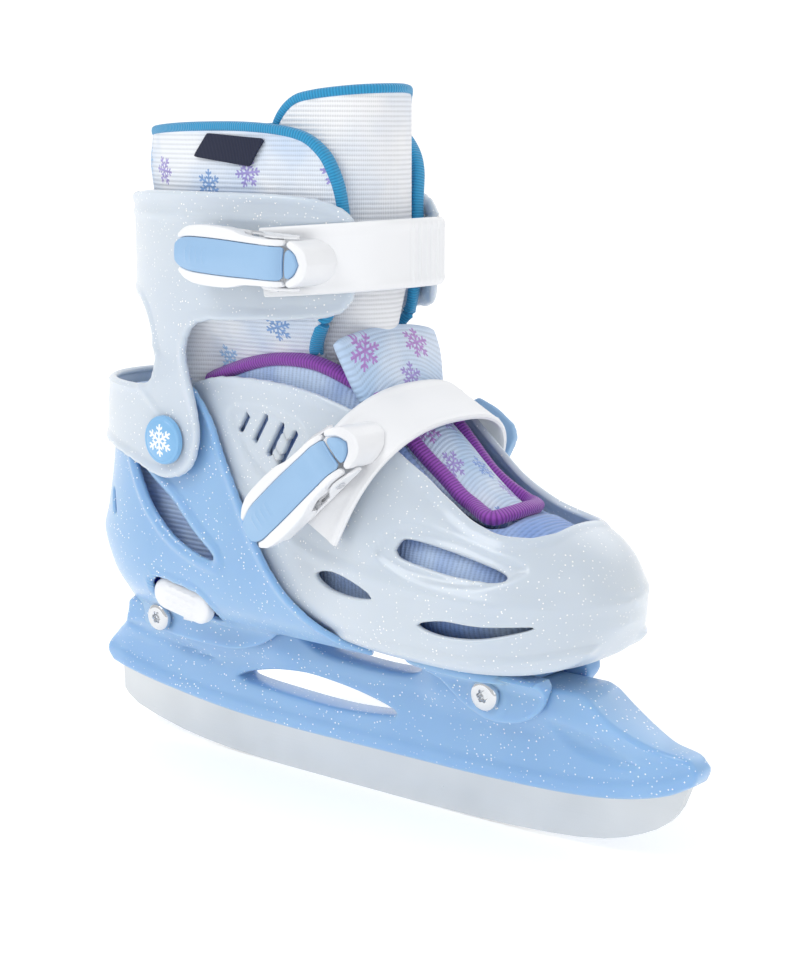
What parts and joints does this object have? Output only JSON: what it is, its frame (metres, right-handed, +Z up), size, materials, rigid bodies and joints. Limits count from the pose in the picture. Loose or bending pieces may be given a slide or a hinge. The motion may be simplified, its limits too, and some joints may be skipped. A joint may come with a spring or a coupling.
{
  "type": "ice skate",
  "caption": "Child's ice skate for the right foot with a steel blade, sliding heel and toe shells, hinged cuff, padded liner and lever buckles.",
  "frame": {"origin": "middle of the blade's flat running edge, on the ice", "axes": "+X towards the toe, +Y towards the inner side of the right foot, +Z up"},
  "size_m": [0.285, 0.1078, 0.2636],
  "materials": {
    "blade_steel": "ground and satin polished stainless steel",
    "bolt_chrome": "bright zinc and chrome plated steel",
    "ice_blue_shell": "translucent ice-blue injection-moulded plastic with silver glitter",
    "milky_shell": "milky translucent injection-moulded plastic with silver glitter",
    "white_plastic": "opaque white moulded nylon, satin",
    "light_blue_plastic": "light blue moulded plastic, satin",
    "liner_knit": "ribbed polyester knit with printed snowflakes over foam",
    "tongue_knit": "ribbed polyester knit over foam",
    "purple_binding": "woven binding tape with stitching",
    "cyan_binding": "woven binding tape",
    "navy_tape": "folded woven tape, blank",
    "insole_foam": "foam insole with a cloth face"
  },
  "bodies": {
    "root": {"blade": "blade_steel", "blade_holder": "ice_blue_shell", "blade_pin_rear": "blade_steel", "blade_pin_middle": "blade_steel", "blade_pin_front": "blade_steel", "heel_shell": "ice_blue_shell", "rear_bolt": "bolt_chrome", "rear_nut": "bolt_chrome", "front_bolt": "bolt_chrome", "front_nut": "bolt_chrome", "latch_spring": "blade_steel", "ankle_rivet_right": "bolt_chrome", "rivet_cap_right": "light_blue_plastic", "ankle_rivet_left": "bolt_chrome", "rivet_cap_left": "light_blue_plastic", "liner_foot": "liner_knit", "insole": "insole_foam", "tongue_lower": "tongue_knit", "vamp_binding": "purple_binding"},
    "toe": {"toe_shell": "milky_shell", "toe_rack": "milky_shell", "instep_strap": "white_plastic", "instep_lever_pin": "bolt_chrome", "instep_buckle_base": "white_plastic", "instep_receiver": "light_blue_plastic", "instep_receiver_pin": "bolt_chrome"},
    "size_button": {"size_button": "white_plastic"},
    "cuff": {"cuff": "milky_shell", "cuff_strap": "white_plastic", "cuff_lever_pin": "bolt_chrome", "cuff_buckle_base": "white_plastic", "cuff_receiver": "light_blue_plastic", "cuff_receiver_pin": "bolt_chrome", "liner_collar": "liner_knit", "collar_binding": "cyan_binding", "tongue_upper": "tongue_knit", "tongue_binding": "cyan_binding", "label_tab": "navy_tape"},
    "cuff_lever": {"cuff_lever": "white_plastic", "cuff_lever_insert": "light_blue_plastic"},
    "cuff_ratchet": {"cuff_ratchet": "light_blue_plastic"},
    "instep_lever": {"instep_lever": "white_plastic", "instep_lever_insert": "light_blue_plastic"},
    "instep_ratchet": {"instep_ratchet": "light_blue_plastic"}
  },
  "joints": [
    {"name": "toe_slide", "type": "slide", "parent": "root", "child": "toe", "axis": [1, 0, 0], "range_m": [0, 0.02]},
    {"name": "size_button_press", "type": "slide", "parent": "root", "child": "size_button", "axis": [0, 1, 0], "range_m": [0, 0.0025], "stiffness_N_per_m": 900},
    {"name": "cuff_flex", "type": "hinge", "parent": "root", "child": "cuff", "pos_m": [-0.07, 0, 0.132], "axis": [0, 1, 0], "range_deg": [-4, 12]},
    {"name": "cuff_lever_open", "type": "hinge", "parent": "cuff", "child": "cuff_lever", "pos_m": [-0.008, -0.0448, 0.2015], "axis": [0.0499, 0, 0.9988], "range_deg": [0, 100]},
    {"name": "cuff_ratchet_release", "type": "hinge", "parent": "cuff", "child": "cuff_ratchet", "pos_m": [-0.031, 0.0449, 0.2015], "axis": [-0.0797, 0, 0.9968], "range_deg": [0, 25], "stiffness_Nm_per_rad": 0.06},
    {"name": "instep_lever_open", "type": "hinge", "parent": "toe", "child": "instep_lever", "pos_m": [0.017, -0.047, 0.134], "axis": [-0.6606, 0, 0.7507], "range_deg": [0, 100]},
    {"name": "instep_ratchet_release", "type": "hinge", "parent": "toe", "child": "instep_ratchet", "pos_m": [0.0062, 0.0488, 0.1195], "axis": [-0.8821, 0, 0.4711], "range_deg": [0, 25], "stiffness_Nm_per_rad": 0.06}
  ]
}
